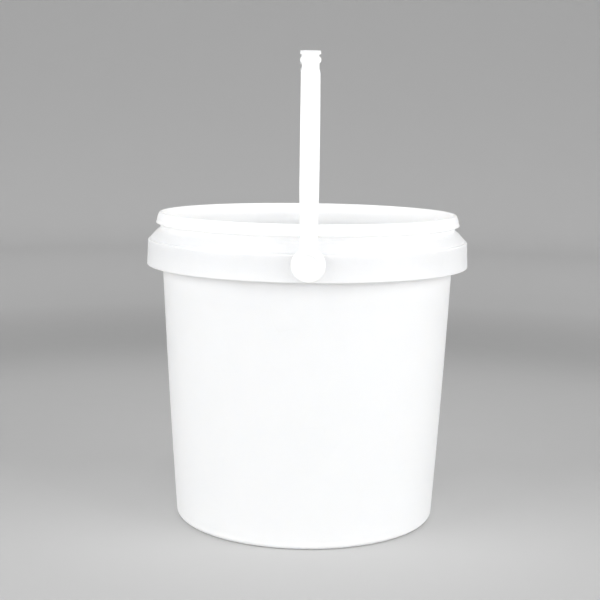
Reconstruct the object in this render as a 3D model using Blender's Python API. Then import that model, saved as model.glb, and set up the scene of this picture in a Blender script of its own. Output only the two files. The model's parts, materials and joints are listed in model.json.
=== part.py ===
"""Ten-litre plastic fermenting bucket with a moulded bail handle.

Two injection mouldings make the object: the open bucket, whose rim, collar, ribs and pivot bosses are
all one piece with its wall, and the handle, whose two snap pins turn in the bosses. The frame is +Z up
with the origin at the centre of the foot; the handle's pivot axis runs along Y. All sizes below are in
millimetres.
"""

import math

import bmesh
import bpy
from mathutils import Matrix, Vector

MM = 0.001

# --- driving dimensions of the bucket ------------------------------------------------------------------
HEIGHT = 260.0
TURN_STEPS = 72
WALL_FOOT_RADIUS = 110.65  # outside of the wall, carried down to the floor
WALL_DRAFT = 0.0559  # growth of the radius for each millimetre of height
WALL_BARREL = 0.62  # how far the middle of the wall swells past a straight draft
BARREL_HEIGHT = 215.0
WALL = 1.6
BASE_CORNER = 4.0
FLOOR_CORNER = 6.4  # radius inside, where the wall meets the floor
FOOT_RING_INNER = 98.2
FOOT_RECESS = 2.4
FLOOR_THICKNESS = 1.8
GATE_RADIUS = 3.0
GATE_DROP = 0.9

RIM_LEAD_IN = 2.6  # how far below the rim the inside starts to lean in to the land
RIM_LAND_INNER = 123.7
RIM_LAND_OUTER = 125.6
SNAP_FACE_TOP = (127.3, 255.8)
SNAP_FACE_FOOT = (127.5, 253.5)
SNAP_TIP = (128.45, 251.4)
GROOVE_RADIUS = 124.5
GROOVE_TOP = 249.7
GROOVE_FOOT = 247.0

COLLAR_ROOT = 244.4  # height where the collar's underside leaves the wall
SHOULDER_KNEE = (127.8, 244.65)
SHOULDER_FOOT = (132.95, 239.0)
LEDGE_INNER = (133.05, 238.0)
LEDGE_OUTER = (134.95, 237.4)
SKIRT_FOOT_RADIUS = 135.85
SKIRT_FOOT = 216.5
SKIRT = 1.45
SHOULDER_BACK = (131.65, 238.1)  # on the shoulder's hidden face, above the skirt
KNEE_BACK = (126.9, 243.05)

RIB_COUNT = 24
RIB_THICKNESS = 1.2
RIB_FOOT = 221.2
RIB_BITE = 0.75  # how far a rib runs into the walls that it joins

# --- driving dimensions of the pivots and the handle ---------------------------------------------------
PIVOT_HEIGHT = 230.2
BOSS_RADIUS = 11.5
BOSS_FACE = 136.55
BOSS_BACK = 131.6
PIN_HOLE_RADIUS = 4.9
PIN_HOLE_END = 126.0

PIN_RADIUS = 4.5
PIN_HEAD_RADIUS = 5.6
PIN_TIP_RADIUS = 4.0
PIN_HEAD_START = 131.1
PIN_HEAD_LAND = 0.8
PIN_TIP = 128.2
PIN_STEPS = 28
PIN_SLOT = 2.0
PIN_SLOT_DEPTH = 5.6
EAR_RADIUS = 13.0
EAR_BACK = 136.9
EAR_OVERLAP = 1.5  # how far a pin is let into its ear
EAR_FACE = 141.2
EAR_EDGE = 0.7

STRAP_CENTRE = 139.0  # distance of the legs' middle from the axis of the bucket
STRAP_TOP = 159.65  # height of the strap's middle above the pivot, along the hand hold
STRAP_WIDTH = 14.6
STRAP_WIDTH_EAR = 13.2
STRAP_NARROW_TOP = 21.0  # heights above the pivot between which a leg widens
STRAP_WIDE_FOOT = 60.0
STRAP_THICK_EAR = 3.4
STRAP_THICK_TOP = 4.2
STRAP_EDGE = 0.6
CHANNEL_DEPTH = 1.9
CHANNEL_LIP = 2.1
CHANNEL_DRAFT = 0.5
CHANNEL_START = 11.0  # height above the pivot where the channel begins, and the height it deepens over
CHANNEL_RUN = 30.0
CHANNEL_LEAST = 0.08  # share of the full depth that it has at the ear
LEG_HEIGHTS = (0.0, 12.0, 21.0, 34.0, 47.0, 60.0)

SHOULDER_RADIUS = 80.0  # of the strap's middle line, between a leg and the hand hold
SHOULDER_ANGLES = (90.0, 82.0, 74.0, 66.0, 58.0, 50.0)  # in degrees from the hand hold
NARROW_START = 40.5  # angles between which the strap narrows towards the hand hold
NARROW_END = 36.0
HOLD_BODY = 13.2  # width of the strap behind the flange
FLANGE_WIDTH = 16.2
FLANGE_WAIST = 14.9
FLANGE_EDGE = 0.9  # thickness of the flange at its edge and how much it grows towards the body
FLANGE_ROOT = 0.5
LOBE_MIDDLE = 26.2
LOBE_HALF = 3.9
LOBE_STEPS = 8
NOTCH_END = 16.8
HOLD_END = 16.2
HOLD_ANGLES = (12.0, 6.0, 0.0)
WAIST_START = 45.0  # distances from the middle of the hand hold between which it draws in to its waist
WAIST_END = 25.0
HOLD_RIB_COUNT = 9
HOLD_RIB_PITCH = 10.0
HOLD_RIB_THICKNESS = 1.2
HOLD_RIB_BITE = 0.3  # how far a rib runs into the strap
HOLD_RIB_RECESS = 0.3  # how far a rib stays inside the channel

WHITE = (0.88, 0.88, 0.87, 1.0)
OVERRUN = 2.0  # how far a cutter passes the face that it cuts
MERGE = 0.01  # points nearer than this are one point


def wall_radius(z):
    barrel = WALL_BARREL * math.sin(math.pi * min(z, BARREL_HEIGHT) / BARREL_HEIGHT)
    return WALL_FOOT_RADIUS + WALL_DRAFT * z + barrel


def wall_line(start, end, inset, steps=5):
    """Corners along the swelling wall between two heights, without its ends."""
    heights = [start + (end - start) * step / steps for step in range(1, steps)]
    return [(wall_radius(z) - inset, z, 0.0, 0) for z in heights]


def skirt_radius(z):
    share = (z - SKIRT_FOOT) / (LEDGE_OUTER[1] - SKIRT_FOOT)
    return SKIRT_FOOT_RADIUS + share * (LEDGE_OUTER[0] - SKIRT_FOOT_RADIUS)


def clear_scene():
    for obj in list(bpy.data.objects):
        bpy.data.objects.remove(obj)


def white_plastic(name, roughness):
    material = bpy.data.materials.new(name)
    material.use_nodes = True
    shader = material.node_tree.nodes["Principled BSDF"]
    shader.inputs["Base Color"].default_value = WHITE
    shader.inputs["Roughness"].default_value = roughness
    shader.inputs["Metallic"].default_value = 0.0
    return material


def add_object(name, bm, material=None, helper=False):
    """Links the bmesh, whose lengths are millimetres, as an object in metres. A helper only cuts or adds."""
    bmesh.ops.recalc_face_normals(bm, faces=bm.faces)
    bmesh.ops.scale(bm, vec=Vector((MM, MM, MM)), verts=bm.verts)
    mesh = bpy.data.meshes.new(name)
    bm.to_mesh(mesh)
    bm.free()
    obj = bpy.data.objects.new(name, mesh)
    bpy.context.scene.collection.objects.link(obj)
    if material:
        mesh.materials.append(material)
    if helper:
        obj.hide_render = True
        obj.display_type = "WIRE"
    return obj


def boolean(obj, other, operation):
    modifier = obj.modifiers.new(f"{operation.lower()} {other.name}", "BOOLEAN")
    modifier.operation = operation
    modifier.object = other


def rounded(corners):
    """A polyline of (x, z, radius, steps) corners with each corner turned into an arc of that radius."""
    points = []
    for i, (x, z, radius, steps) in enumerate(corners):
        here = Vector((x, z))
        if radius == 0 or i in (0, len(corners) - 1):
            points.append(here)
            continue
        back = (Vector(corners[i - 1][:2]) - here).normalized()
        ahead = (Vector(corners[i + 1][:2]) - here).normalized()
        half = back.angle(ahead) / 2
        reach = radius / math.tan(half)
        centre = here + (back + ahead).normalized() * radius / math.sin(half)
        start = here + back * reach - centre
        end = here + ahead * reach - centre
        turn = start.angle_signed(end)
        for step in range(steps + 1):
            points.append(centre + Matrix.Rotation(-turn * step / steps, 2) @ start)
    return points


def turned(name, outline, material=None, helper=False, steps=TURN_STEPS):
    """A solid turned round Z from a (radius, z) outline that starts and ends on the axis."""
    bm = bmesh.new()
    verts = [bm.verts.new((p[0], 0.0, p[1])) for p in outline]
    edges = [bm.edges.new(pair) for pair in zip(verts, verts[1:])]
    bmesh.ops.spin(bm, geom=verts + edges, axis=(0, 0, 1), angle=2 * math.pi, steps=steps, use_merge=True)
    bmesh.ops.remove_doubles(bm, verts=bm.verts, dist=MERGE)
    return add_object(name, bm, material, helper)


def drum(bm, radius, start, end, segments=40):
    """A cylinder along Y, from one distance on the -Y side to another, on the handle's pivot axis."""
    place = Matrix.Translation((0, -(start + end) / 2, PIVOT_HEIGHT)) @ Matrix.Rotation(math.pi / 2, 4, "X")
    size = {"radius1": radius, "radius2": radius, "depth": end - start}
    return bmesh.ops.create_cone(bm, cap_ends=True, segments=segments, matrix=place, **size)["verts"]


def mirror_to_far_side(bm):
    """Adds the same shape on the +Y side."""
    copied = bmesh.ops.duplicate(bm, geom=bm.verts[:] + bm.edges[:] + bm.faces[:])["geom"]
    verts = [item for item in copied if isinstance(item, bmesh.types.BMVert)]
    bmesh.ops.rotate(bm, matrix=Matrix.Rotation(math.pi, 3, "Z"), verts=verts)


# --- the bucket ----------------------------------------------------------------------------------------


def bucket_outline():
    """Half section of the bucket, from the floor's middle up the inside and down the outside."""
    floor = FOOT_RECESS + FLOOR_THICKNESS
    inner_top = HEIGHT - RIM_LEAD_IN
    skirt_top = LEDGE_OUTER[1] - SKIRT
    return rounded(
        [
            (0.0, floor, 0.0, 0),
            (wall_radius(floor) - WALL, floor, FLOOR_CORNER, 4),
            *wall_line(floor, inner_top, WALL),
            (wall_radius(inner_top) - WALL, inner_top, 0.0, 0),
            (RIM_LAND_INNER, HEIGHT, 0.5, 1),
            (RIM_LAND_OUTER, HEIGHT, 0.8, 2),
            (*SNAP_FACE_TOP, 2.0, 2),
            (*SNAP_FACE_FOOT, 0.0, 0),
            (*SNAP_TIP, 0.35, 1),
            (GROOVE_RADIUS, GROOVE_TOP, 0.0, 0),
            (GROOVE_RADIUS, GROOVE_FOOT, 0.0, 0),
            (*SHOULDER_KNEE, 4.0, 2),
            (*SHOULDER_FOOT, 0.6, 1),
            (*LEDGE_INNER, 0.0, 0),
            (*LEDGE_OUTER, 0.8, 2),
            (SKIRT_FOOT_RADIUS, SKIRT_FOOT, 0.4, 1),
            (SKIRT_FOOT_RADIUS - SKIRT, SKIRT_FOOT, 0.4, 1),
            (skirt_radius(skirt_top) - SKIRT, skirt_top, 0.0, 0),
            (*SHOULDER_BACK, 0.0, 0),
            (*KNEE_BACK, 2.0, 1),
            (wall_radius(COLLAR_ROOT), COLLAR_ROOT, 0.6, 1),
            *wall_line(COLLAR_ROOT, 0.0, 0.0),
            (WALL_FOOT_RADIUS, 0.0, BASE_CORNER, 4),
            (FOOT_RING_INNER, 0.0, 0.0, 0),
            (FOOT_RING_INNER - 0.8, FOOT_RECESS, 0.0, 0),
            (GATE_RADIUS + 0.4, FOOT_RECESS, 0.0, 0),
            (GATE_RADIUS, FOOT_RECESS - GATE_DROP, 0.0, 0),
            (0.0, FOOT_RECESS - GATE_DROP, 0.0, 0),
        ]
    )


def rib_outline():
    """Outline of one rib in its own radial plane: it bites into the wall, the shoulder and the skirt."""
    bite = RIB_BITE * 0.7
    return [
        (wall_radius(RIB_FOOT) - RIB_BITE, RIB_FOOT + RIB_THICKNESS),
        (skirt_radius(RIB_FOOT) - SKIRT + RIB_BITE, RIB_FOOT),
        (LEDGE_OUTER[0] - RIB_BITE, LEDGE_OUTER[1] - RIB_BITE),
        (SHOULDER_FOOT[0] - RIB_BITE, SHOULDER_FOOT[1] - bite),
        (KNEE_BACK[0] + bite, KNEE_BACK[1] + bite),
        (GROOVE_RADIUS, COLLAR_ROOT + bite),
        (wall_radius(COLLAR_ROOT) - RIB_BITE, COLLAR_ROOT + bite),
    ]


def ribs():
    """The ring of radial ribs under the collar, half a pitch away from the pivots."""
    bm = bmesh.new()
    outline = rib_outline()
    for index in range(RIB_COUNT):
        angle = 2 * math.pi * (index + 0.5) / RIB_COUNT
        face = bm.faces.new([bm.verts.new((r, -RIB_THICKNESS / 2, z)) for r, z in outline])
        grown = bmesh.ops.extrude_face_region(bm, geom=[face])["geom"]
        moved = [item for item in grown if isinstance(item, bmesh.types.BMVert)]
        bmesh.ops.translate(bm, vec=(0, RIB_THICKNESS, 0), verts=moved)
        bmesh.ops.rotate(bm, matrix=Matrix.Rotation(angle, 3, "Z"), verts=list(face.verts) + moved)
    return add_object("collar_ribs", bm, helper=True)


def pivot_bosses():
    bm = bmesh.new()
    drum(bm, BOSS_RADIUS, BOSS_BACK, BOSS_FACE, segments=36)
    mirror_to_far_side(bm)
    return add_object("pivot_bosses", bm, helper=True)


def pin_holes():
    bm = bmesh.new()
    drum(bm, PIN_HOLE_RADIUS, PIN_HOLE_END, BOSS_FACE + OVERRUN, segments=36)
    mirror_to_far_side(bm)
    return add_object("pin_holes", bm, helper=True)


def make_bucket():
    bucket = turned("bucket", bucket_outline(), white_plastic("bucket_plastic", 0.38))
    boolean(bucket, ribs(), "UNION")
    boolean(bucket, pivot_bosses(), "UNION")
    boolean(bucket, pin_holes(), "DIFFERENCE")
    bucket.data.shade_smooth()
    bucket.data.set_sharp_from_angle(angle=math.radians(30))
    return bucket


# --- the handle ----------------------------------------------------------------------------------------


def shoulder_stations():
    """Angles round a shoulder, each with the width of the strap's body and of its flange there.

    The flange is the strap's outer face. It stands out past the body as a round lobe and, after a notch, as
    the plate of the hand hold.
    """
    stations = [(angle, STRAP_WIDTH, STRAP_WIDTH) for angle in (*SHOULDER_ANGLES, NARROW_START)]
    stations.append((NARROW_END, HOLD_BODY, HOLD_BODY))
    for step in range(LOBE_STEPS + 1):
        around = math.pi * step / LOBE_STEPS
        flange = HOLD_BODY + (FLANGE_WIDTH - HOLD_BODY) * math.sin(around)
        stations.append((LOBE_MIDDLE + LOBE_HALF * math.cos(around), HOLD_BODY, flange))
    stations.append((NOTCH_END, HOLD_BODY, HOLD_BODY))
    return stations + [(angle, HOLD_BODY, FLANGE_WIDTH) for angle in (HOLD_END, *HOLD_ANGLES)]


def bail_path():
    """Stations of the strap from ear to ear.

    Each has the middle as (y, height over the pivot), the outward direction and the two widths.
    """
    near = []
    for height in LEG_HEIGHTS:
        share = (height - STRAP_NARROW_TOP) / (STRAP_WIDE_FOOT - STRAP_NARROW_TOP)
        width = STRAP_WIDTH_EAR + (STRAP_WIDTH - STRAP_WIDTH_EAR) * min(max(share, 0.0), 1.0)
        near.append((Vector((-STRAP_CENTRE, height)), Vector((-1.0, 0.0)), width, width))
    centre = Vector((SHOULDER_RADIUS - STRAP_CENTRE, STRAP_TOP - SHOULDER_RADIUS))
    for angle, body, flange in shoulder_stations():
        outward = Vector((-math.sin(math.radians(angle)), math.cos(math.radians(angle))))
        near.append((centre + outward * SHOULDER_RADIUS, outward, body, flange))
    for y, flange in ((-WAIST_START, FLANGE_WIDTH), (-WAIST_END, FLANGE_WAIST)):
        near.append((Vector((y, STRAP_TOP)), Vector((0.0, 1.0)), HOLD_BODY, flange))
    far = [(Vector((-p.x, p.y)), Vector((-n.x, n.y)), body, flange) for p, n, body, flange in reversed(near)]
    return near + far


def strap_section(height, body, flange):
    """Closed section of the strap as (x, outward) points: a flange over a body with a channel inside."""
    w = body / 2
    wide = flange / 2
    t = (STRAP_THICK_EAR + (STRAP_THICK_TOP - STRAP_THICK_EAR) * height / STRAP_TOP) / 2
    depth = CHANNEL_DEPTH * min(1.0, CHANNEL_LEAST + max(0.0, height - CHANNEL_START) / CHANNEL_RUN)
    lip = w - CHANNEL_LIP
    root = t - FLANGE_EDGE - FLANGE_ROOT
    half = [
        (wide - STRAP_EDGE, t), (wide, t - STRAP_EDGE), (wide, t - FLANGE_EDGE), (w, root),
        (w, -t + STRAP_EDGE), (w - STRAP_EDGE, -t), (lip, -t), (lip - CHANNEL_DRAFT, -t + depth),
    ]  # fmt: skip
    return half + [(-x, outward) for x, outward in reversed(half)]


def strap():
    bm = bmesh.new()
    rings = []
    for point, outward, body, flange in bail_path():
        ring = []
        for x, n in strap_section(point.y, body, flange):
            y, height = point + outward * n
            ring.append(bm.verts.new((x, y, PIVOT_HEIGHT + height)))
        rings.append(ring)
    for ring, following in zip(rings, rings[1:]):
        for i in range(len(ring)):
            j = (i + 1) % len(ring)
            bm.faces.new((ring[i], ring[j], following[j], following[i]))
    bm.faces.new(rings[0])
    bm.faces.new(rings[-1])
    return bm


def hold_ribs():
    """Cross ribs in the channel under the hand hold."""
    bm = bmesh.new()
    span = HOLD_BODY - 2 * CHANNEL_LIP + 2 * HOLD_RIB_BITE
    depth = CHANNEL_DEPTH - HOLD_RIB_RECESS + HOLD_RIB_BITE
    low = PIVOT_HEIGHT + STRAP_TOP - STRAP_THICK_TOP / 2 + HOLD_RIB_RECESS
    size = Matrix.Diagonal((span, HOLD_RIB_THICKNESS, depth, 1.0))
    for index in range(HOLD_RIB_COUNT):
        y = (index - (HOLD_RIB_COUNT - 1) / 2) * HOLD_RIB_PITCH
        bmesh.ops.create_cube(bm, size=1.0, matrix=Matrix.Translation((0, y, low + depth / 2)) @ size)
    return add_object("hold_ribs", bm, helper=True)


def ears():
    bm = bmesh.new()
    drum(bm, EAR_RADIUS, EAR_BACK, EAR_FACE)
    middle = -(EAR_BACK + EAR_FACE) / 2
    front = [edge for edge in bm.edges if all(vert.co.y < middle for vert in edge.verts)]
    bmesh.ops.bevel(bm, geom=front, offset=EAR_EDGE, segments=2, affect="EDGES", profile=0.5)
    mirror_to_far_side(bm)
    return add_object("handle_ears", bm, helper=True)


def snap_pins():
    """The two pins, each with a barbed head, before they are slotted."""
    bm = bmesh.new()
    outline = [
        (0.0, PIN_TIP), (PIN_TIP_RADIUS, PIN_TIP),
        (PIN_HEAD_RADIUS, PIN_HEAD_START - PIN_HEAD_LAND), (PIN_HEAD_RADIUS, PIN_HEAD_START),
        (PIN_RADIUS, PIN_HEAD_START), (PIN_RADIUS, EAR_BACK + EAR_OVERLAP), (0.0, EAR_BACK + EAR_OVERLAP),
    ]  # fmt: skip
    verts = [bm.verts.new((0.0, -distance, radius)) for radius, distance in outline]
    edges = [bm.edges.new(pair) for pair in zip(verts, verts[1:])]
    whole = 2 * math.pi
    bmesh.ops.spin(bm, geom=verts + edges, axis=(0, 1, 0), angle=whole, steps=PIN_STEPS, use_merge=True)
    bmesh.ops.remove_doubles(bm, verts=bm.verts, dist=MERGE)
    bmesh.ops.translate(bm, vec=(0, 0, PIVOT_HEIGHT), verts=bm.verts)
    mirror_to_far_side(bm)
    return add_object("snap_pins", bm, helper=True)


def pin_slots():
    """Cutters for the slot that lets each barbed head squeeze through its hole."""
    bm = bmesh.new()
    length = PIN_SLOT_DEPTH + OVERRUN
    size = Matrix.Diagonal((PIN_SLOT, length, 4 * PIN_HEAD_RADIUS, 1.0))
    middle = PIN_TIP - OVERRUN + length / 2
    bmesh.ops.create_cube(bm, size=1.0, matrix=Matrix.Translation((0, -middle, PIVOT_HEIGHT)) @ size)
    mirror_to_far_side(bm)
    return add_object("pin_slots", bm, helper=True)


def make_handle():
    """The handle stands upright over the bucket. Its origin lies on the pivot axis."""
    handle = add_object("handle", strap(), white_plastic("handle_plastic", 0.42))
    handle.data.transform(Matrix.Translation((0, 0, -PIVOT_HEIGHT * MM)))
    handle.location = (0, 0, PIVOT_HEIGHT * MM)
    boolean(handle, hold_ribs(), "UNION")
    boolean(handle, ears(), "UNION")
    boolean(handle, snap_pins(), "UNION")
    boolean(handle, pin_slots(), "DIFFERENCE")
    handle.data.shade_smooth()
    handle.data.set_sharp_from_angle(angle=math.radians(30))
    return handle


def main():
    clear_scene()
    make_bucket()
    make_handle()


main()
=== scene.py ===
"""The look of the plastic fermenting bucket: fine moulded meshes, white polypropylene and a soft studio."""

import json
import math

import bmesh
import bpy
from mathutils import Matrix, Vector


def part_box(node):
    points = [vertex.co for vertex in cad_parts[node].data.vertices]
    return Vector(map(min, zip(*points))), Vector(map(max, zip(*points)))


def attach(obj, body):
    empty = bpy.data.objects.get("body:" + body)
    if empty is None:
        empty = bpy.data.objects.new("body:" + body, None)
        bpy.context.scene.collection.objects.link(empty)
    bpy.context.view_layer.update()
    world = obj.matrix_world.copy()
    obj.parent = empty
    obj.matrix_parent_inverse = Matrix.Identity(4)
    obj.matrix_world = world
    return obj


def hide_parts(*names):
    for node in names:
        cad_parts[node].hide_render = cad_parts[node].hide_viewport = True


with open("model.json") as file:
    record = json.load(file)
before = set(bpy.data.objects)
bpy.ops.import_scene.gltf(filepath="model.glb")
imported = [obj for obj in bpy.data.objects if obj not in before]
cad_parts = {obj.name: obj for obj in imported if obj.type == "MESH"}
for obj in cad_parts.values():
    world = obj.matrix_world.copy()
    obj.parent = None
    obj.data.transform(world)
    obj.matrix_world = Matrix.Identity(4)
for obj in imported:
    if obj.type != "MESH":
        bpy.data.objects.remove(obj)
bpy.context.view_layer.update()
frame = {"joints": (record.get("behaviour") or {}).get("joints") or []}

MM = 0.001

# --- places read from the frame, in millimetres ---
HINGE = next(joint for joint in frame["joints"] if joint["name"] == "handle_swing")
PIVOT_HEIGHT = HINGE["pos_m"][2] / MM
RIM_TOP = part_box("bucket")[1].z / MM
HANDLE_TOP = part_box("handle")[1].z / MM - PIVOT_HEIGHT  # heights on the handle are counted from the pivot
EAR_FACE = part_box("handle")[1].y / MM

# --- the bucket's driving dimensions, in millimetres ---
WALL_FOOT_RADIUS = 110.65  # outside of the wall, carried down to the floor
WALL_DRAFT = 0.0559  # growth of the radius for each millimetre of height
WALL_BARREL = 0.62  # how far the middle of the wall swells past a straight draft
BARREL_HEIGHT = 215.0
WALL = 1.6
BASE_CORNER = 4.0
FOOT_RING_INNER = 98.2
FOOT_RING_DRAFT = 0.9
FOOT_RING_ROUND = 0.5
FOOT_RECESS = 2.4
FLOOR_THICKNESS = 1.8
FLOOR_CHANNEL = 2.0  # depth of the ring channel inside, over the foot ring
FLOOR_CHANNEL_BRINK = 2.6  # how far inwards of the foot ring its upper and lower inner corners are
FLOOR_CHANNEL_INNER = 1.0
FLOOR_CHANNEL_ROUND = 0.8
INNER_CORNER = 6.4  # radius between the channel and the wall
INNER_WALL_START = 12.0  # height from which the inside follows the wall's swelling
RIM_FLARE = 2.6  # the inside starts to open out this far below the rim
RIM_FLARE_ROUND = 0.4
UNDERSIDE_RIDGES = (24.0, 52.0, 80.0)
RIDGE_HALF = 0.7
RIDGE_DROP = 0.5
RIDGE_DRAFT = 0.3
RIDGE_ROUND = 0.2
GATE_RADIUS = 3.0
GATE_DROP = 0.9
GATE_DRAFT = 0.6
GATE_ROUND = 0.3

# a corner of the rim or the collar is its distance from the axis, its height and the radius that rounds it
RIM_LAND = (123.7, 125.6)
RIM_INNER_ROUND = 0.6
RIM_OUTER_ROUND = 0.9
SNAP_FACE_TOP = (127.3, 255.8, 2.0)
SNAP_FACE_FOOT = (127.5, 253.5, 0.4)
SNAP_TIP = (128.45, 251.4, 0.3)
GROOVE_RADIUS = 124.5
GROOVE_TOP = (GROOVE_RADIUS, 249.7, 0.4)
GROOVE_FOOT = (GROOVE_RADIUS, 247.0, 0.5)
SHOULDER_KNEE = (127.8, 244.65, 4.0)
SHOULDER_FOOT = (132.95, 239.0, 0.5)
LEDGE_INNER = (133.05, 238.0, 0.3)
LEDGE_OUTER = (134.95, 237.4, 0.8)
SHOULDER_BACK = (131.65, 238.1, 0.5)  # on the shoulder's hidden face, above the skirt
KNEE_BACK = (126.9, 243.05, 2.0)
COLLAR_ROOT = 244.4  # height where the collar's underside leaves the wall
COLLAR_ROOT_ROUND = 0.8

SKIRT = 1.45
SKIRT_FOOT = 216.5
SKIRT_FOOT_RADIUS = 135.85
SKIRT_FOOT_ROUND = 0.45
SKIRT_ROOT_ROUND = 0.5
SKIRT_START = LEDGE_OUTER[1] - 0.6  # the skirt's rings start just under the ledge's rounded edge

RIB_COUNT = 24
RIB_THICKNESS = 1.2
RIB_FOOT = 221.2
RIB_BITE = 0.75
RIB_BITE_SLOPE = 0.7 * RIB_BITE  # the part of the bite along each axis where the collar slopes

BOSS_RADIUS = 11.5
BOSS_FACE = 136.55
BOSS_BACK = 131.6
PIN_HOLE_RADIUS = 4.9
PIN_HOLE_END = 126.0

# --- the handle's driving dimensions, in millimetres ---
PIN_RADIUS = 4.5
PIN_HEAD_RADIUS = 5.6
PIN_TIP_RADIUS = 4.0
PIN_HEAD_START = 131.1
PIN_HEAD_LAND = 0.8
PIN_TIP = 128.2
PIN_TIP_ROUND = 0.4
PIN_HEAD_ROUND = 0.3
PIN_NECK_ROUND = 0.15
PIN_SLOT = 2.0
PIN_SLOT_DEPTH = 5.6
EAR_RADIUS = 13.0
EAR_BACK = 136.9
EAR_BACK_ROUND = 0.4
EAR_OVERLAP = 1.5  # how far a pin is let into its ear
EAR_ROUND = 1.1
EAR_DIMPLE_RADIUS = 7.4
EAR_DIMPLE_DEPTH = 0.3
EAR_DIMPLE_DRAFT = 0.5
EAR_DIMPLE_ROUND = 0.3

STRAP_CENTRE = 139.0  # distance of the legs' middle from the axis of the bucket
STRAP_WIDTH = 14.6
STRAP_WIDTH_EAR = 13.2
STRAP_NARROW_TOP = 21.0  # heights above the pivot between which a leg widens
STRAP_WIDE_FOOT = 60.0
STRAP_THICK_EAR = 3.4
STRAP_THICK_TOP = 4.2
STRAP_TOP = HANDLE_TOP - STRAP_THICK_TOP / 2  # of the middle line
STRAP_EDGE = 0.5
STRAP_INNER_EDGE = 0.7
STRAP_CROWN = 0.2
CROWN_HALFWAY = 0.3  # share of the crown's fall that is reached halfway to the edge
CHANNEL_DEPTH = 1.9
CHANNEL_LIP = 2.1  # from the strap's side to the channel
CHANNEL_LIP_ROUND = 0.3
CHANNEL_DRAFT = 0.5
CHANNEL_START = 11.0  # height above the pivot where the channel begins, and the height it deepens over
CHANNEL_RUN = 30.0
CHANNEL_LEAST = 0.08  # share of the full depth that it has at the ear
LEG_STEP = 3.0

SHOULDER_RADIUS = 80.0  # of the strap's middle line, between a leg and the hand hold
NARROW_START = 40.5  # the strap narrows between these angles, in degrees round the shoulder from the hold
NARROW_END = 36.0
HOLD_BODY = 13.2  # width of the strap behind the flange
HOLD_STEP = 2.5
FLANGE_WIDTH = 16.2
FLANGE_WAIST = 14.9
FLANGE_LEAST = 0.02  # how far the flange stands out where it can't be seen
FLANGE_EDGE = 0.9  # thickness of the flange at its edge and how much it grows towards the body
FLANGE_ROOT = 0.5
FLANGE_ROUND = 0.18
FLANGE_ROOT_ROUND = 0.3
LOBE_MIDDLE = 26.2  # degrees round the shoulder, as are the next three
LOBE_HALF = 3.9
NOTCH_END = 16.8
HOLD_END = 16.2
WAIST_START = 45.0  # distances from the middle of the hand hold between which it draws in to its waist
WAIST_END = 25.0
HOLD_RIB_COUNT = 9
HOLD_RIB_PITCH = 10.0
HOLD_RIB_THICKNESS = 1.2
HOLD_RIB_BITE = 0.3
HOLD_RIB_RECESS = 0.3

OVERRUN = 2.0  # how far a cutter passes what it cuts

# --- how finely the shapes are divided ---
TURN_STEPS = 240
INNER_WALL_STEPS = 18
SKIRT_STEPS = 20
SKIRT_BACK_STEPS = 10
UNDER_COLLAR_STEPS = 15
UNDER_COLLAR_FOOT = RIB_FOOT - 8.0  # the rings are closer together above this height
OUTER_WALL_STEPS = 20
BOSS_STEPS = 72
EAR_STEPS = 96
EAR_ARC = 6
PIN_STEPS = 48
PIN_ARC = 4
SHOULDER_STEPS = 360
SECTION_ARC = 4
MERGE = 0.004
SHARP_ANGLE = 32.0
NORMAL_WEIGHT = 60

# --- the plastic ---
WALL_WHITES = ((0.925, 0.93, 0.925, 1), (0.905, 0.91, 0.907, 1))
# painted light: lighter whites for the collar and the rim than the wall's
COLLAR_PAINTED_LIGHT_WHITES = ((0.972, 0.974, 0.972, 1), (0.958, 0.961, 0.959, 1))
SCUFF_GREY = (0.76, 0.76, 0.75, 1)
# the grey that the foot darkens towards at its bottom edge
FOOT_DARKENING_GREY = (0.78, 0.78, 0.77, 1)
BUCKET_ROUGHNESS = 0.36
HANDLE_ROUGHNESS = 0.40
NOISE_RANGE = (0.3, 0.7)  # where most of a noise lies
RIB_CREST = (0.90, 1.0)  # range of the ribs' cosine that shows as a sink mark
DRAG_LINES = 60.0  # how closely they stand round the wall
FLOW_RING_RATE = 900.0  # radians of the rings' wave for each metre of radius
SCUFF_STRETCH = 14.0
SCUFF_THINNESS = 0.006
SCUFF_PATCH_SCALE = 14.0
SCUFF_PATCHES = (0.55, 0.68)
PAINTED_LIFT_RANGE = (0.195, 0.217)  # heights over which the painted light that whitens the collar fades in, lifting the shade on the wall under it, in metres
FLOOR_RANGE = (0.006, 0.004)  # heights between which the floor's flow rings come up, in metres
FOOT_DARKENING_RANGE = (0.010, 0.0)  # heights between which the foot gets darker towards its bottom edge and rougher, in metres
SINK_FADE = 5.0  # height over the ribs' feet that the sink marks come up in, in millimetres
GRIP_DEPTH = 12.0  # the spark texture starts this far below the handle's top, in millimetres
GRIP_FADE = 3.0

# --- the camera and the studio, in metres ---
CAMERA_PLACE = (-0.0057, -1.053, 0.3343)
CAMERA_PITCH_DOWN = math.radians(8.09)
CAMERA_ROLL = math.radians(0.77)
CAMERA_LENS = 74.26
STUDIO_RADIUS = 3.2
STUDIO_HEIGHT = 3.4
STUDIO_COVE = 0.9
STUDIO_STEPS = 96
STUDIO_ARC = 24
STUDIO_MERGE = 0.0001
PAPER_PAINTED_LIGHT_GREYS = (  # the paper's grey at each share of the studio's radius, with painted light and shade in it: lighter round the bucket's foot against its contact shadow, and a painted dark band on the floor at 0.28 of the radius
    (0.04, 0.59), (0.08, 0.47), (0.15, 0.455), (0.21, 0.45), (0.28, 0.347),
    (0.40, 0.54), (0.62, 0.775), (0.80, 0.785), (0.90, 0.715), (1.0, 0.645),
)
AIR_STRENGTH = 0.25
BUCKET_MIDDLE = (0.0, 0.0, 0.18)
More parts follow.
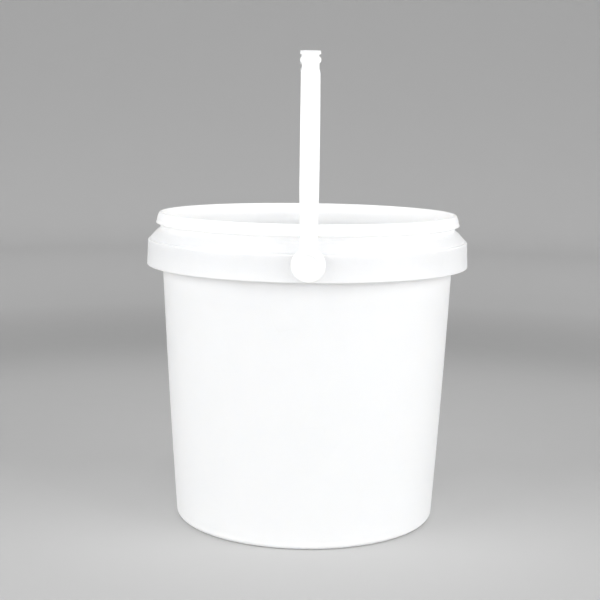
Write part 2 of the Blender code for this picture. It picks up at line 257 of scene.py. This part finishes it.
SOFTBOXES = (  # name, place, target, size, watts, and the spread in degrees that the grid in front leaves it
    ("left_softbox", (-1.6, -0.85, 0.78), BUCKET_MIDDLE, (1.6, 1.1), 13.4, 140.0),
    ("right_softbox", (1.6, -0.85, 0.78), BUCKET_MIDDLE, (1.6, 1.1), 14.6, 140.0),
    ("top_softbox", (0.0, 0.1, 2.2), (0.0, 0.0, 0.2), (2.2, 2.2), 24.5, 180.0),
    ("front_fill", (0.0, -2.3, 0.60), BUCKET_MIDDLE, (2.4, 0.7), 8.4, 120.0),
)


# --- geometry helpers ---


def wall_radius(z):
    barrel = WALL_BARREL * math.sin(math.pi * min(max(z, 0.0), BARREL_HEIGHT) / BARREL_HEIGHT)
    return WALL_FOOT_RADIUS + WALL_DRAFT * z + barrel


def skirt_radius(z):
    share = (z - SKIRT_FOOT) / (LEDGE_OUTER[1] - SKIRT_FOOT)
    return SKIRT_FOOT_RADIUS + share * (LEDGE_OUTER[0] - SKIRT_FOOT_RADIUS)


def side_line(radius_at, start, end, inset, steps):
    """Corners along the wall or the skirt from one height to another, left out at both ends."""
    heights = [start + (end - start) * step / steps for step in range(1, steps)]
    return [(radius_at(z) - inset, z, 0.0) for z in heights]


def rounded(corners, arc=8, steps_each=None):
    """A polyline of (x, z, radius) corners with each corner turned into an arc of that radius.

    An arc has arc steps for each right angle, or steps_each where sections have to match point for point.
    """
    points = []
    for i, (x, z, radius) in enumerate(corners):
        here = Vector((x, z))
        if radius == 0 or i in (0, len(corners) - 1):
            points.append(here)
            continue
        back = (Vector(corners[i - 1][:2]) - here).normalized()
        ahead = (Vector(corners[i + 1][:2]) - here).normalized()
        half = back.angle(ahead) / 2
        reach = radius / math.tan(half)
        centre = here + (back + ahead).normalized() * radius / math.sin(half)
        start = here + back * reach - centre
        end = here + ahead * reach - centre
        turn = start.angle_signed(end)
        steps = steps_each or max(2, round(arc * abs(turn) / (math.pi / 2)))
        for step in range(steps + 1):
            points.append(centre + Matrix.Rotation(-turn * step / steps, 2) @ start)
    return points


def add_object(name, bm, material=None):
    """Links the bmesh, whose lengths are metres, as an object."""
    mesh = bpy.data.meshes.new(name)
    bm.to_mesh(mesh)
    bm.free()
    piece = bpy.data.objects.new(name, mesh)
    bpy.context.scene.collection.objects.link(piece)
    if material:
        mesh.materials.append(material)
    return piece


def add_piece(name, bm, material=None):
    """Links the bmesh, whose lengths are millimetres, as an object in metres."""
    bmesh.ops.recalc_face_normals(bm, faces=bm.faces)
    bmesh.ops.scale(bm, vec=Vector((MM, MM, MM)), verts=bm.verts)
    return add_object(name, bm, material)


def spin_line(bm, points, axis, steps, merge):
    """Turns a line of points once round the axis."""
    verts = [bm.verts.new(point) for point in points]
    edges = [bm.edges.new(pair) for pair in zip(verts, verts[1:])]
    whole_turn = {"cent": (0, 0, 0), "axis": axis, "angle": 2 * math.pi, "steps": steps}
    bmesh.ops.spin(bm, geom=verts + edges, use_merge=True, **whole_turn)
    bmesh.ops.remove_doubles(bm, verts=bm.verts, dist=merge)


def turned_mesh(outline, steps, about_y=False):
    """A bmesh turned from a (radius, distance along the axis) outline that starts and ends on the axis."""
    bm = bmesh.new()
    if about_y:
        spin_line(bm, [(0.0, -p[1], p[0]) for p in outline], (0, 1, 0), steps, MERGE)
    else:
        spin_line(bm, [(p[0], 0.0, p[1]) for p in outline], (0, 0, 1), steps, MERGE)
    return bm


def both_sides(bm):
    """Lifts a shape made about the Y axis to the pivot and adds its twin on the +Y side."""
    bmesh.ops.translate(bm, vec=(0, 0, PIVOT_HEIGHT), verts=bm.verts)
    copied = bmesh.ops.duplicate(bm, geom=bm.verts[:] + bm.edges[:] + bm.faces[:])["geom"]
    verts = [item for item in copied if isinstance(item, bmesh.types.BMVert)]
    bmesh.ops.rotate(bm, cent=(0, 0, 0), matrix=Matrix.Rotation(math.pi, 3, "Z"), verts=verts)
    return bm


def carve(piece, tools):
    """Applies (operation, helper) pairs to the piece and deletes the helpers."""
    for operation, helper in tools:
        modifier = piece.modifiers.new(helper.name, "BOOLEAN")
        modifier.operation = operation
        modifier.solver = "MANIFOLD"
        modifier.object = helper
    bpy.context.view_layer.update()
    graph = bpy.context.evaluated_depsgraph_get()
    mesh = bpy.data.meshes.new_from_object(piece.evaluated_get(graph))
    piece.modifiers.clear()
    piece.data = mesh
    for _, helper in tools:
        bpy.data.objects.remove(helper)


def smooth(piece):
    piece.data.shade_smooth()
    piece.data.set_sharp_from_angle(angle=math.radians(SHARP_ANGLE))
    normals = piece.modifiers.new("face_weighted_normals", "WEIGHTED_NORMAL")
    normals.keep_sharp = True
    normals.weight = NORMAL_WEIGHT


# --- the bucket ---


def underside_outline():
    """The underside from the foot ring inwards, with its low ridges and the gate mark at its centre."""
    corners = [
        (FOOT_RING_INNER, 0.0, FOOT_RING_ROUND),
        (FOOT_RING_INNER - FOOT_RING_DRAFT, FOOT_RECESS, FOOT_RING_ROUND),
    ]
    for radius in reversed(UNDERSIDE_RIDGES):
        corners += [
            (radius + RIDGE_HALF + RIDGE_DRAFT, FOOT_RECESS, 0.0),
            (radius + RIDGE_HALF, FOOT_RECESS - RIDGE_DROP, RIDGE_ROUND),
            (radius - RIDGE_HALF, FOOT_RECESS - RIDGE_DROP, RIDGE_ROUND),
            (radius - RIDGE_HALF - RIDGE_DRAFT, FOOT_RECESS, 0.0),
        ]
    corners += [
        (GATE_RADIUS + GATE_DRAFT, FOOT_RECESS, RIDGE_ROUND),
        (GATE_RADIUS, FOOT_RECESS - GATE_DROP, GATE_ROUND),
        (0.0, FOOT_RECESS - GATE_DROP, 0.0),
    ]
    return corners


def bucket_outline():
    """Half section, from the middle of the floor up the inside, over the rim and down the outside."""
    floor = FOOT_RECESS + FLOOR_THICKNESS
    channel = floor - FLOOR_CHANNEL
    inner_top = RIM_TOP - RIM_FLARE
    skirt_top = LEDGE_OUTER[1] - SKIRT
    return rounded(
        [
            (0.0, floor, 0.0),
            (FOOT_RING_INNER - FLOOR_CHANNEL_BRINK, floor, FLOOR_CHANNEL_ROUND),
            (FOOT_RING_INNER - FLOOR_CHANNEL_INNER, channel, FLOOR_CHANNEL_ROUND),
            (wall_radius(channel) - WALL, channel, INNER_CORNER),
            *side_line(wall_radius, INNER_WALL_START, inner_top, WALL, INNER_WALL_STEPS),
            (wall_radius(inner_top) - WALL, inner_top, RIM_FLARE_ROUND),
            (RIM_LAND[0], RIM_TOP, RIM_INNER_ROUND),
            (RIM_LAND[1], RIM_TOP, RIM_OUTER_ROUND),
            SNAP_FACE_TOP,
            SNAP_FACE_FOOT,
            SNAP_TIP,
            GROOVE_TOP,
            GROOVE_FOOT,
            SHOULDER_KNEE,
            SHOULDER_FOOT,
            LEDGE_INNER,
            LEDGE_OUTER,
            *side_line(skirt_radius, SKIRT_START, SKIRT_FOOT, 0.0, SKIRT_STEPS),
            (SKIRT_FOOT_RADIUS, SKIRT_FOOT, SKIRT_FOOT_ROUND),
            (SKIRT_FOOT_RADIUS - SKIRT, SKIRT_FOOT, SKIRT_FOOT_ROUND),
            *side_line(skirt_radius, SKIRT_FOOT, skirt_top, SKIRT, SKIRT_BACK_STEPS),
            (skirt_radius(skirt_top) - SKIRT, skirt_top, SKIRT_ROOT_ROUND),
            SHOULDER_BACK,
            KNEE_BACK,
            (wall_radius(COLLAR_ROOT), COLLAR_ROOT, COLLAR_ROOT_ROUND),
            *side_line(wall_radius, COLLAR_ROOT, UNDER_COLLAR_FOOT, 0.0, UNDER_COLLAR_STEPS),
            *side_line(wall_radius, UNDER_COLLAR_FOOT, 0.0, 0.0, OUTER_WALL_STEPS),
            (WALL_FOOT_RADIUS, 0.0, BASE_CORNER),
            *underside_outline(),
        ]
    )


def rib_outline():
    """Outline of one rib in its own radial plane: it bites into the wall, the shoulder and the skirt."""
    return [
        (wall_radius(RIB_FOOT) - RIB_BITE, RIB_FOOT + RIB_THICKNESS),
        (skirt_radius(RIB_FOOT) - SKIRT + RIB_BITE, RIB_FOOT),
        (LEDGE_OUTER[0] - RIB_BITE, LEDGE_OUTER[1] - RIB_BITE),
        (SHOULDER_FOOT[0] - RIB_BITE, SHOULDER_FOOT[1] - RIB_BITE_SLOPE),
        (KNEE_BACK[0] + RIB_BITE_SLOPE, KNEE_BACK[1] + RIB_BITE_SLOPE),
        (GROOVE_RADIUS, COLLAR_ROOT + RIB_BITE_SLOPE),
        (wall_radius(COLLAR_ROOT) - RIB_BITE, COLLAR_ROOT + RIB_BITE_SLOPE),
    ]


def collar_ribs():
    bm = bmesh.new()
    outline = rib_outline()
    for index in range(RIB_COUNT):
        turn = Matrix.Rotation(2 * math.pi * (index + 0.5) / RIB_COUNT, 3, "Z")
        face = bm.faces.new([bm.verts.new((r, -RIB_THICKNESS / 2, z)) for r, z in outline])
        grown = bmesh.ops.extrude_face_region(bm, geom=[face])["geom"]
        moved = [item for item in grown if isinstance(item, bmesh.types.BMVert)]
        bmesh.ops.translate(bm, vec=(0, RIB_THICKNESS, 0), verts=moved)
        bmesh.ops.rotate(bm, cent=(0, 0, 0), matrix=turn, verts=list(face.verts) + moved)
    return add_piece("ribs_helper", bm)


def drums(name, radius, start, end):
    outline = [(0.0, start), (radius, start), (radius, end), (0.0, end)]
    return add_piece(name, both_sides(turned_mesh(outline, BOSS_STEPS, about_y=True)))


def make_bucket():
    bucket = add_piece("bucket_shell", turned_mesh(bucket_outline(), TURN_STEPS), bucket_plastic())
    carve(
        bucket,
        [
            ("UNION", collar_ribs()),
            ("UNION", drums("boss_helper", BOSS_RADIUS, BOSS_BACK, BOSS_FACE)),
            ("DIFFERENCE", drums("hole_helper", PIN_HOLE_RADIUS, PIN_HOLE_END, BOSS_FACE + OVERRUN)),
        ],
    )
    smooth(bucket)
    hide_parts("bucket")
    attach(bucket, "bucket")


# --- the handle ---


def ease(share):
    share = min(max(share, 0.0), 1.0)
    return share * share * (3.0 - 2.0 * share)


def body_width(angle):
    """Width of the strap behind its flange at an angle round the shoulder."""
    return HOLD_BODY + (STRAP_WIDTH - HOLD_BODY) * ease((angle - NARROW_END) / (NARROW_START - NARROW_END))


def flange_width(angle):
    """The flange stands out as a round lobe and, after a notch, as the plate of the hand hold."""
    around = (angle - LOBE_MIDDLE) / LOBE_HALF
    if angle < NOTCH_END:
        stand = 1.0 - ease((angle - HOLD_END) / (NOTCH_END - HOLD_END))
    else:
        stand = math.sqrt(max(0.0, 1.0 - around * around))
    return max(body_width(angle) + FLANGE_LEAST, HOLD_BODY + (FLANGE_WIDTH - HOLD_BODY) * stand)


def bail_path():
    """Stations of the strap from ear to ear.

    Each is its middle as (y, height over the pivot), its outward direction and the two widths.
    """
    near = []
    leg_top = STRAP_TOP - SHOULDER_RADIUS
    leg_steps = round(leg_top / LEG_STEP)
    for step in range(leg_steps):
        height = leg_top * step / leg_steps
        widen = ease((height - STRAP_NARROW_TOP) / (STRAP_WIDE_FOOT - STRAP_NARROW_TOP))
        width = STRAP_WIDTH_EAR + (STRAP_WIDTH - STRAP_WIDTH_EAR) * widen
        near.append((Vector((-STRAP_CENTRE, height)), Vector((-1.0, 0.0)), width, width + FLANGE_LEAST))
    centre = Vector((SHOULDER_RADIUS - STRAP_CENTRE, leg_top))
    for step in range(SHOULDER_STEPS + 1):
        angle = 90.0 * (1 - step / SHOULDER_STEPS)
        outward = Vector((-math.sin(math.radians(angle)), math.cos(math.radians(angle))))
        near.append((centre + outward * SHOULDER_RADIUS, outward, body_width(angle), flange_width(angle)))
    hold_steps = round(-centre.x / HOLD_STEP)
    for step in range(1, hold_steps + 1):
        y = centre.x * (1 - step / hold_steps)
        spread = ease((-y - WAIST_END) / (WAIST_START - WAIST_END))
        flange = FLANGE_WAIST + (FLANGE_WIDTH - FLANGE_WAIST) * spread
        near.append((Vector((y, STRAP_TOP)), Vector((0.0, 1.0)), HOLD_BODY, flange))
    far = []
    for point, outward, body, flange in reversed(near[:-1]):
        far.append((Vector((-point.x, point.y)), Vector((-outward.x, outward.y)), body, flange))
    return near + far


def strap_outline(height, body, flange):
    """Closed section as (x, outward) points: a crowned flange over a body with a channel inside."""
    side = body / 2
    edge = flange / 2
    top = (STRAP_THICK_EAR + (STRAP_THICK_TOP - STRAP_THICK_EAR) * height / STRAP_TOP) / 2
    depth = CHANNEL_DEPTH * min(1.0, CHANNEL_LEAST + max(0.0, height - CHANNEL_START) / CHANNEL_RUN)
    lip = side - CHANNEL_LIP
    half = [
        (0.0, top, 0.0),
        (edge / 2, top - STRAP_CROWN * CROWN_HALFWAY, 0.0),
        (edge, top - STRAP_CROWN, STRAP_EDGE),
        (edge, top - FLANGE_EDGE, FLANGE_ROUND),
        (side, top - FLANGE_EDGE - FLANGE_ROOT, FLANGE_ROOT_ROUND),
        (side, -top, STRAP_INNER_EDGE),
        (lip, -top, CHANNEL_LIP_ROUND),
        (lip - CHANNEL_DRAFT, -top + depth, min(CHANNEL_LIP_ROUND, depth / 3)),
        (0.0, -top + depth, 0.0),
    ]
    right = [tuple(point) for point in rounded(half, steps_each=SECTION_ARC)]
    return right + [(-x, outward) for x, outward in reversed(right[1:-1])]


def strap():
    bm = bmesh.new()
    rings = []
    for point, outward, body, flange in bail_path():
        ring = []
        for x, distance in strap_outline(point.y, body, flange):
            y, height = point + outward * distance
            ring.append(bm.verts.new((x, y, PIVOT_HEIGHT + height)))
        rings.append(ring)
    for ring, following in zip(rings, rings[1:]):
        for i in range(len(ring)):
            j = (i + 1) % len(ring)
            bm.faces.new((ring[i], ring[j], following[j], following[i]))
    bm.faces.new(rings[0])
    bm.faces.new(rings[-1])
    return bm


def hold_ribs():
    """Cross ribs in the channel under the hand hold."""
    bm = bmesh.new()
    span = HOLD_BODY - 2 * CHANNEL_LIP + 2 * HOLD_RIB_BITE
    depth = CHANNEL_DEPTH - HOLD_RIB_RECESS + HOLD_RIB_BITE
    low = PIVOT_HEIGHT + STRAP_TOP - STRAP_THICK_TOP / 2 + HOLD_RIB_RECESS
    size = Matrix.Diagonal((span, HOLD_RIB_THICKNESS, depth, 1.0))
    for index in range(HOLD_RIB_COUNT):
        y = (index - (HOLD_RIB_COUNT - 1) / 2) * HOLD_RIB_PITCH
        bmesh.ops.create_cube(bm, size=1.0, matrix=Matrix.Translation((0, y, low + depth / 2)) @ size)
    return add_piece("hold_ribs_helper", bm)


def ears():
    dimple_face = EAR_FACE - EAR_DIMPLE_DEPTH
    outline = rounded(
        [
            (0.0, EAR_BACK, 0.0),
            (EAR_RADIUS, EAR_BACK, EAR_BACK_ROUND),
            (EAR_RADIUS, EAR_FACE, EAR_ROUND),
            (EAR_DIMPLE_RADIUS + EAR_DIMPLE_DRAFT, EAR_FACE, EAR_DIMPLE_ROUND),
            (EAR_DIMPLE_RADIUS, dimple_face, EAR_DIMPLE_ROUND),
            (0.0, dimple_face, 0.0),
        ],
        EAR_ARC,
    )
    return add_piece("ears_helper", both_sides(turned_mesh(outline, EAR_STEPS, about_y=True)))


def snap_pins():
    outline = rounded(
        [
            (0.0, PIN_TIP, 0.0),
            (PIN_TIP_RADIUS, PIN_TIP, PIN_TIP_ROUND),
            (PIN_HEAD_RADIUS, PIN_HEAD_START - PIN_HEAD_LAND, PIN_HEAD_ROUND),
            (PIN_HEAD_RADIUS, PIN_HEAD_START, PIN_NECK_ROUND),
            (PIN_RADIUS, PIN_HEAD_START, PIN_NECK_ROUND),
            (PIN_RADIUS, EAR_BACK + EAR_OVERLAP, 0.0),
            (0.0, EAR_BACK + EAR_OVERLAP, 0.0),
        ],
        PIN_ARC,
    )
    return add_piece("pins_helper", both_sides(turned_mesh(outline, PIN_STEPS, about_y=True)))


def pin_slots():
    bm = bmesh.new()
    length = PIN_SLOT_DEPTH + OVERRUN
    size = Matrix.Diagonal((PIN_SLOT, length, 4 * PIN_HEAD_RADIUS, 1.0))
    middle = PIN_TIP - OVERRUN + length / 2
    bmesh.ops.create_cube(bm, size=1.0, matrix=Matrix.Translation((0, -middle, 0)) @ size)
    return add_piece("slots_helper", both_sides(bm))


def make_handle():
    handle = add_piece("bail_handle", strap(), handle_plastic())
    carve(
        handle,
        [
            ("UNION", hold_ribs()),
            ("UNION", ears()),
            ("UNION", snap_pins()),
            ("DIFFERENCE", pin_slots()),
        ],
    )
    smooth(handle)
    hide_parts("handle")
    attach(handle, "handle")


# --- materials ---


class Nodes:
    """A short way to write a node tree."""

    def __init__(self, name):
        self.material = bpy.data.materials.new(name)
        self.material.use_nodes = True
        self.tree = self.material.node_tree
        self.shader = self.tree.nodes["Principled BSDF"]

    def add(self, kind, inputs=(), **settings):
        node = self.tree.nodes.new(kind)
        for key, value in settings.items():
            setattr(node, key, value)
        for key, value in dict(inputs).items():
            self.feed(value, node.inputs[key])
        return node

    def feed(self, value, socket):
        if isinstance(value, bpy.types.NodeSocket):
            self.tree.links.new(value, socket)
        else:
            socket.default_value = value

    def place(self):
        return self.add("ShaderNodeTexCoord").outputs["Object"]

    def math(self, operation, a, b=0.0, clamp=False):
        return self.add("ShaderNodeMath", {0: a, 1: b}, operation=operation, use_clamp=clamp).outputs[0]

    def noise(self, vector, scale, detail=2.0, roughness=0.5):
        inputs = {"Vector": vector, "Scale": scale, "Detail": detail, "Roughness": roughness}
        return self.add("ShaderNodeTexNoise", inputs).outputs["Fac"]

    def mapped(self, vector, scale, rotation=(0.0, 0.0, 0.0), location=(0.0, 0.0, 0.0)):
        inputs = {"Vector": vector, "Scale": scale, "Rotation": rotation, "Location": location}
        return self.add("ShaderNodeMapping", inputs).outputs["Vector"]

    def remap(self, value, low, high, to_low=0.0, to_high=1.0):
        inputs = {"Value": value, "From Min": low, "From Max": high, "To Min": to_low, "To Max": to_high}
        return self.add("ShaderNodeMapRange", inputs).outputs["Result"]

    def mix(self, factor, a, b):
        node = self.add("ShaderNodeMix", data_type="RGBA")
        for key, value in (("Factor", factor), ("A", a), ("B", b)):
            self.feed(value, node.inputs[key])
        return node.outputs["Result"]

    def tint(self, colour, *layers):
        """Lays (map, strength, colour) layers over a colour."""
        for amount, strength, over in layers:
            colour = self.mix(self.math("MULTIPLY", amount, strength), colour, over)
        return colour

    def total(self, value, *layers):
        """Adds (map, strength) layers to a value."""
        for amount, strength in layers:
            value = self.math("ADD", value, self.math("MULTIPLY", amount, strength))
        return value

    def relief(self, *layers):
        """A normal that is bumped by (height map, depth in metres, strength) layers."""
        normal = None
        for height, depth, strength in layers:
            bump = self.add("ShaderNodeBump", {"Height": height, "Distance": depth, "Strength": strength})
            if normal:
                self.feed(normal, bump.inputs["Normal"])
            normal = bump.outputs["Normal"]
        return normal


def round_coordinates(nodes, place):
    """Splits a point into its angle round the Z axis, its distance from that axis and its height."""
    x, y, z = nodes.add("ShaderNodeSeparateXYZ", {"Vector": place}).outputs
    angle = nodes.math("ARCTAN2", y, x)
    squares = nodes.math("ADD", nodes.math("MULTIPLY", x, x), nodes.math("MULTIPLY", y, y))
    return angle, nodes.math("SQRT", squares), z


def moulded_plastic(name):
    """White polypropylene that lets a little light into its thin walls."""
    nodes = Nodes(name)
    shader = nodes.shader
    shader.inputs["IOR"].default_value = 1.49
    shader.inputs["Subsurface Weight"].default_value = 0.9
    shader.inputs["Subsurface Radius"].default_value = (1.0, 0.96, 0.9)
    shader.inputs["Subsurface Scale"].default_value = 0.005
    place = nodes.place()
    cloud = nodes.noise(place, scale=9.0, detail=3.0)
    fine_cloud = nodes.noise(place, scale=60.0, detail=3.0)
    grain = nodes.noise(place, scale=2600.0, roughness=0.6)
    return nodes, place, cloud, fine_cloud, grain


def scratches(nodes, place, scale, angle, seed):
    """Sparse hairline scuffs: thin lines of a stretched noise, kept only where a patchy mask allows them.

    The angle and the seed are spread unevenly over the three axes, so that two layers never line up.
    """
    rotation = (angle, angle * 0.7, angle * 1.3)
    location = (seed, seed * 0.37, -seed)
    stretched = nodes.mapped(place, (1.0, SCUFF_STRETCH, 1.0), rotation, location)
    lines = nodes.noise(stretched, scale, detail=1.0)
    off_line = nodes.math("ABSOLUTE", nodes.math("SUBTRACT", lines, 0.5))
    thin = nodes.remap(off_line, 0.0, SCUFF_THINNESS, 1.0, 0.0)
    patches = nodes.remap(nodes.noise(place, scale=SCUFF_PATCH_SCALE + seed), *SCUFF_PATCHES)
    return nodes.math("MULTIPLY", thin, patches, clamp=True)


def drag_lines(nodes, angle, height):
    """Lines that the mould leaves up the wall as the bucket is drawn out of it."""
    along = nodes.add("ShaderNodeCombineXYZ", {"X": nodes.math("MULTIPLY", angle, DRAG_LINES), "Y": height})
    return nodes.noise(along.outputs["Vector"], scale=2.2, detail=3.0, roughness=0.62)


def sink_marks(nodes, angle, height):
    """Faint sink marks on the collar in front of its ribs."""
    from_rib = nodes.math("ADD", angle, math.pi / RIB_COUNT)
    wave = nodes.math("COSINE", nodes.math("MULTIPLY", from_rib, RIB_COUNT))
    above_rib_foot = nodes.remap(height, RIB_FOOT * MM, (RIB_FOOT + SINK_FADE) * MM)
    return nodes.math("MULTIPLY", nodes.remap(wave, *RIB_CREST), above_rib_foot)


def flow_rings(nodes, radius, height):
    """Rings round the gate on the floor and the underside."""
    rings = nodes.math("SINE", nodes.math("MULTIPLY", radius, FLOW_RING_RATE))
    return nodes.math("MULTIPLY", rings, nodes.remap(height, *FLOOR_RANGE))


def bucket_plastic():
    nodes, place, cloud, fine_cloud, grain = moulded_plastic("bucket_polypropylene")
    angle, radius, height = round_coordinates(nodes, place)
    drag = drag_lines(nodes, angle, height)
    sink = sink_marks(nodes, angle, height)
    rings = flow_rings(nodes, radius, height)
    scuffs = scratches(nodes, place, 16.0, 0.6, 3.1)
    more_scuffs = scratches(nodes, place, 11.0, 1.9, 7.7)
    scuffs = nodes.math("MAXIMUM", scuffs, more_scuffs)
    foot_darkening = nodes.remap(height, *FOOT_DARKENING_RANGE)  # the foot gets darker towards its bottom edge and rougher

    # painted light: the collar and the rim are painted whiter than the wall, and the shade on the wall under
    # the collar is lifted towards that white
    patchy = nodes.remap(cloud, *NOISE_RANGE)
    painted_lift = nodes.remap(height, *PAINTED_LIFT_RANGE)
    white = nodes.mix(painted_lift, nodes.mix(patchy, *WALL_WHITES), nodes.mix(patchy, *COLLAR_PAINTED_LIGHT_WHITES))
    white = nodes.tint(white, (scuffs, 0.10, SCUFF_GREY), (foot_darkening, 0.25, FOOT_DARKENING_GREY))
    nodes.feed(white, nodes.shader.inputs["Base Color"])

    rough = nodes.remap(fine_cloud, *NOISE_RANGE, BUCKET_ROUGHNESS - 0.03, BUCKET_ROUGHNESS + 0.05)
    rough = nodes.total(rough, (drag, 0.05), (scuffs, 0.16), (foot_darkening, 0.18))
    nodes.feed(rough, nodes.shader.inputs["Roughness"])

    normal = nodes.relief(
        (cloud, 0.0012, 0.10),
        (sink, -0.00012, 0.9),
        (rings, 0.00003, 0.8),
        (drag, 0.00006, 0.55),
        (scuffs, -0.00005, 0.6),
        (grain, 0.00002, 0.5),
    )
    nodes.feed(normal, nodes.shader.inputs["Normal"])
    return nodes.material


def handle_plastic():
    """The hand hold has a coarser spark texture than the rest of the strap, which is nearly smooth."""
    nodes, place, cloud, fine_cloud, grain = moulded_plastic("handle_polypropylene")
    height = nodes.add("ShaderNodeSeparateXYZ", {"Vector": place}).outputs["Z"]
    grip_foot = PIVOT_HEIGHT + HANDLE_TOP - GRIP_DEPTH
    on_grip = nodes.remap(height, grip_foot * MM, (grip_foot + GRIP_FADE) * MM)
    spark = nodes.noise(place, scale=1500.0, detail=3.0, roughness=0.7)
    flow = nodes.noise(nodes.mapped(place, (520.0, 12.0, 12.0)), scale=1.0)
    scuffs = scratches(nodes, place, 20.0, 1.1, 5.3)

    white = nodes.mix(nodes.remap(cloud, *NOISE_RANGE), *WALL_WHITES)
    white = nodes.tint(white, (scuffs, 0.10, SCUFF_GREY))
    nodes.feed(white, nodes.shader.inputs["Base Color"])

    rough = nodes.remap(fine_cloud, *NOISE_RANGE, HANDLE_ROUGHNESS - 0.03, HANDLE_ROUGHNESS + 0.04)
    rough = nodes.total(rough, (on_grip, 0.12), (scuffs, 0.14))
    nodes.feed(rough, nodes.shader.inputs["Roughness"])

    normal = nodes.relief(
        (cloud, 0.0008, 0.10),
        (flow, 0.00003, 0.5),
        (nodes.math("MULTIPLY", spark, on_grip), 0.00007, 0.7),
        (scuffs, -0.00005, 0.6),
        (grain, 0.00002, 0.5),
    )
    nodes.feed(normal, nodes.shader.inputs["Normal"])
    return nodes.material


def studio_paper():
    """Matt paper in the greys of PAPER_PAINTED_LIGHT_GREYS, blended softly from one to the next, with a
    painted pool of light round the bucket's foot and a painted dark band on the floor.
    """
    nodes = Nodes("studio_paper")
    place = nodes.place()
    _, radius, _ = round_coordinates(nodes, place)
    ramp = nodes.add("ShaderNodeValToRGB", {"Fac": nodes.math("DIVIDE", radius, STUDIO_RADIUS)})
    ramp.color_ramp.interpolation = "B_SPLINE"
    elements = ramp.color_ramp.elements
    elements[0].position = PAPER_PAINTED_LIGHT_GREYS[0][0]
    elements[1].position = PAPER_PAINTED_LIGHT_GREYS[-1][0]
    for position, _ in PAPER_PAINTED_LIGHT_GREYS[1:-1]:
        elements.new(position)
    for element, (_, grey) in zip(elements, PAPER_PAINTED_LIGHT_GREYS):
        element.color = (grey, grey, grey, 1.0)
    nodes.feed(ramp.outputs["Color"], nodes.shader.inputs["Base Color"])
    rough = nodes.remap(nodes.noise(place, scale=40.0, detail=3.0), *NOISE_RANGE, 0.85, 0.95)
    nodes.feed(rough, nodes.shader.inputs["Roughness"])
    nodes.shader.inputs["Specular IOR Level"].default_value = 0.2
    fibres = nodes.relief((nodes.noise(place, scale=700.0), 0.0001, 0.3))
    nodes.feed(fibres, nodes.shader.inputs["Normal"])
    return nodes.material


# --- the studio ---


def make_studio():
    """A round floor that curves up into a wall all the way round, so that every view has the same ground."""
    corners = [(0.0, 0.0, 0.0), (STUDIO_RADIUS, 0.0, STUDIO_COVE), (STUDIO_RADIUS, STUDIO_HEIGHT, 0.0)]
    bm = bmesh.new()
    line = [(point.x, 0.0, point.y) for point in rounded(corners, STUDIO_ARC)]
    spin_line(bm, line, (0, 0, 1), STUDIO_STEPS, STUDIO_MERGE)
    bmesh.ops.recalc_face_normals(bm, faces=bm.faces)
    studio = add_object("studio", bm, studio_paper())
    studio.data.shade_smooth()


def add_softbox(name, place, target, size, watts, spread):
    data = bpy.data.lights.new(name, "AREA")
    data.shape = "RECTANGLE"
    data.size, data.size_y = size
    data.energy = watts
    data.spread = math.radians(spread)
    light = bpy.data.objects.new(name, data)
    light.location = place
    light.rotation_euler = (Vector(target) - Vector(place)).to_track_quat("-Z", "Y").to_euler()
    bpy.context.scene.collection.objects.link(light)


def light_studio():
    for softbox in SOFTBOXES:
        add_softbox(*softbox)
    world = bpy.data.worlds.new("studio_air")
    world.use_nodes = True
    background = world.node_tree.nodes["Background"]
    background.inputs["Color"].default_value = (1.0, 1.0, 1.0, 1.0)
    background.inputs["Strength"].default_value = AIR_STRENGTH
    bpy.context.scene.world = world


def make_camera():
    data = bpy.data.cameras.new("photo_camera")
    data.sensor_width = 36.0
    data.lens = CAMERA_LENS
    camera = bpy.data.objects.new("photo_camera", data)
    tilt = Matrix.Rotation(math.pi / 2 - CAMERA_PITCH_DOWN, 4, "X")
    camera.matrix_world = Matrix.Translation(CAMERA_PLACE) @ tilt @ Matrix.Rotation(CAMERA_ROLL, 4, "Z")
    bpy.context.scene.collection.objects.link(camera)
    bpy.context.scene.camera = camera


make_camera()
make_studio()
light_studio()
make_bucket()
make_handle()

bpy.context.scene.view_settings.view_transform = "Standard"
bpy.context.scene.view_settings.look = "None"
